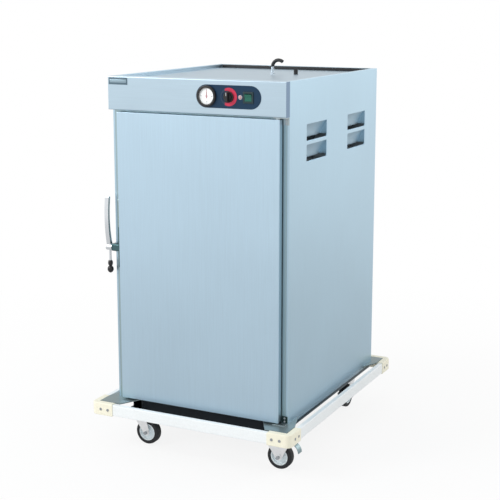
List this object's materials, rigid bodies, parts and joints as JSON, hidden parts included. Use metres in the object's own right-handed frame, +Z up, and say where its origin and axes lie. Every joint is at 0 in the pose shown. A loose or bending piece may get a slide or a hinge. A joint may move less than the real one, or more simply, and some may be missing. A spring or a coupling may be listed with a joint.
{
  "type": "food warming cart",
  "caption": "Tall insulated stainless cart on swivel casters with a hinged door, edge latch, header controls, side vents, wrap-round bumper and an inner tray rack with fan and heater.",
  "frame": {"origin": "on the floor, under the centre of the bumper rectangle", "axes": "+X to the right seen from the front, +Y to the back, +Z up; the door is on the -Y side"},
  "size_m": [0.86, 1.07, 1.509],
  "materials": {
    "stainless_sheet": "satin cabinet sheet, pale and slightly blue",
    "stainless_inner": "satin inner sheet",
    "galvanised_steel": "dull zinc-coated steel",
    "insulation": "pale mineral-fibre board",
    "gasket_rubber": "matte, dark grey",
    "control_plate": "near-black blue, semi-gloss",
    "black_plastic": "black, semi-matte",
    "dial_face": "white",
    "pointer": "dark",
    "scale_ring": "red printed ring",
    "lamp_lens": "milky, faintly pink",
    "rocker": "dark green",
    "heater_tube": "dark oxidised tube",
    "motor_casing": "dark grey",
    "latch_chrome": "polished",
    "latch_steel": "zinc plated, grey",
    "hook_sleeve": "black",
    "bumper_rail": "off-white",
    "bumper_corner": "cream moulding",
    "caster_zinc": "zinc plated",
    "caster_hub": "light grey",
    "caster_tyre": "black",
    "brake_pedal": "zinc plated"
  },
  "bodies": {
    "cabinet": {"bumper_corners": "bumper_corner", "bumper_rails": "bumper_rail", "caster_plates": "caster_zinc", "chassis_frame": "galvanised_steel", "control_plate": "control_plate", "cord_inlet": "black_plastic", "dial_bezel": "black_plastic", "dial_face": "dial_face", "fan_baffle": "stainless_inner", "fan_motor": "motor_casing", "floor_panel": "galvanised_steel", "front_frame": "stainless_sheet", "header_panel": "stainless_sheet", "heating_element": "heater_tube", "hinge_brackets": "latch_steel", "hook_post": "latch_chrome", "hook_sleeve": "hook_sleeve", "insulation": "insulation", "latch_strike": "latch_steel", "liner_floor": "stainless_inner", "liner_rear": "stainless_inner", "liner_sides": "stainless_inner", "liner_top": "stainless_inner", "pilot_lamp": "lamp_lens", "rack_posts": "stainless_inner", "rear_panel": "stainless_sheet", "scale_ring": "scale_ring", "side_panel_left": "stainless_sheet", "side_panel_right": "stainless_sheet", "switch_frame": "black_plastic", "thermostat_body": "black_plastic", "top_panel": "stainless_sheet", "tray_ledges": "stainless_inner", "vent_louvres": "stainless_sheet", "water_pan": "stainless_inner"},
    "door": {"door_skin": "stainless_sheet", "door_liner": "stainless_inner", "door_core": "insulation", "door_gasket": "gasket_rubber", "latch_bracket": "latch_steel"},
    "latch": {"latch_lever": "latch_chrome", "latch_knob": "black_plastic"},
    "knob": {"thermostat_knob": "black_plastic"},
    "rocker": {"switch_rocker": "rocker"},
    "pointer": {"dial_pointer": "pointer"},
    "fan": {"fan_impeller": "galvanised_steel"},
    "swivel_front_left": {"caster_fork_front_left": "caster_zinc"},
    "wheel_front_left": {"caster_hub_front_left": "caster_hub", "caster_tyre_front_left": "caster_tyre"},
    "swivel_front_right": {"caster_fork_front_right": "caster_zinc"},
    "wheel_front_right": {"caster_hub_front_right": "caster_hub", "caster_tyre_front_right": "caster_tyre"},
    "swivel_rear_left": {"caster_fork_rear_left": "caster_zinc"},
    "wheel_rear_left": {"caster_hub_rear_left": "caster_hub", "caster_tyre_rear_left": "caster_tyre"},
    "swivel_rear_right": {"caster_fork_rear_right": "caster_zinc"},
    "wheel_rear_right": {"caster_hub_rear_right": "caster_hub", "caster_tyre_rear_right": "caster_tyre"},
    "pedal_front_right": {"brake_pedal_front_right": "brake_pedal"},
    "pedal_rear_left": {"brake_pedal_rear_left": "brake_pedal"}
  },
  "joints": [
    {"name": "door_hinge", "type": "hinge", "parent": "cabinet", "child": "door", "pos_m": [0.332, -0.443, 0.76], "axis": [0, 0, 1], "range_deg": [0, 180]},
    {"name": "latch_pivot", "type": "hinge", "parent": "door", "child": "latch", "pos_m": [-0.385, -0.443, 0.799], "axis": [1, 0, 0], "range_deg": [0, 35]},
    {"name": "thermostat_turn", "type": "hinge", "parent": "cabinet", "child": "knob", "pos_m": [0.144, -0.467, 1.4], "axis": [0, 1, 0], "range_deg": [0, 270]},
    {"name": "rocker_tilt", "type": "hinge", "parent": "cabinet", "child": "rocker", "pos_m": [0.222, -0.455, 1.4], "axis": [1, 0, 0], "range_deg": [-16, 0]},
    {"name": "pointer_turn", "type": "hinge", "parent": "cabinet", "child": "pointer", "pos_m": [0.054, -0.46, 1.4], "axis": [0, 1, 0], "range_deg": [0, 270]},
    {"name": "fan_spin", "type": "hinge", "parent": "cabinet", "child": "fan", "pos_m": [0, 0.0025, 1.258], "axis": [0, 0, 1], "continuous": true},
    {"name": "swivel_front_left", "type": "hinge", "parent": "cabinet", "child": "swivel_front_left", "pos_m": [-0.29, -0.395, 0.128], "axis": [0, 0, 1], "continuous": true},
    {"name": "roll_front_left", "type": "hinge", "parent": "swivel_front_left", "child": "wheel_front_left", "pos_m": [-0.252, -0.395, 0.05], "axis": [0, 1, 0], "continuous": true},
    {"name": "swivel_front_right", "type": "hinge", "parent": "cabinet", "child": "swivel_front_right", "pos_m": [0.29, -0.395, 0.128], "axis": [0, 0, 1], "continuous": true},
    {"name": "roll_front_right", "type": "hinge", "parent": "swivel_front_right", "child": "wheel_front_right", "pos_m": [0.328, -0.395, 0.05], "axis": [0, 1, 0], "continuous": true},
    {"name": "swivel_rear_left", "type": "hinge", "parent": "cabinet", "child": "swivel_rear_left", "pos_m": [-0.29, 0.395, 0.128], "axis": [0, 0, 1], "continuous": true},
    {"name": "roll_rear_left", "type": "hinge", "parent": "swivel_rear_left", "child": "wheel_rear_left", "pos_m": [-0.252, 0.395, 0.05], "axis": [0, 1, 0], "continuous": true},
    {"name": "swivel_rear_right", "type": "hinge", "parent": "cabinet", "child": "swivel_rear_right", "pos_m": [0.29, 0.395, 0.128], "axis": [0, 0, 1], "continuous": true},
    {"name": "roll_rear_right", "type": "hinge", "parent": "swivel_rear_right", "child": "wheel_rear_right", "pos_m": [0.29, 0.357, 0.05], "axis": [1, 0, 0], "continuous": true},
    {"name": "brake_front_right", "type": "hinge", "parent": "swivel_front_right", "child": "pedal_front_right", "pos_m": [0.365, -0.395, 0.106], "axis": [0, 1, 0], "range_deg": [0, 15]},
    {"name": "brake_rear_left", "type": "hinge", "parent": "swivel_rear_left", "child": "pedal_rear_left", "pos_m": [-0.215, 0.395, 0.106], "axis": [0, 1, 0], "range_deg": [0, 15]}
  ]
}
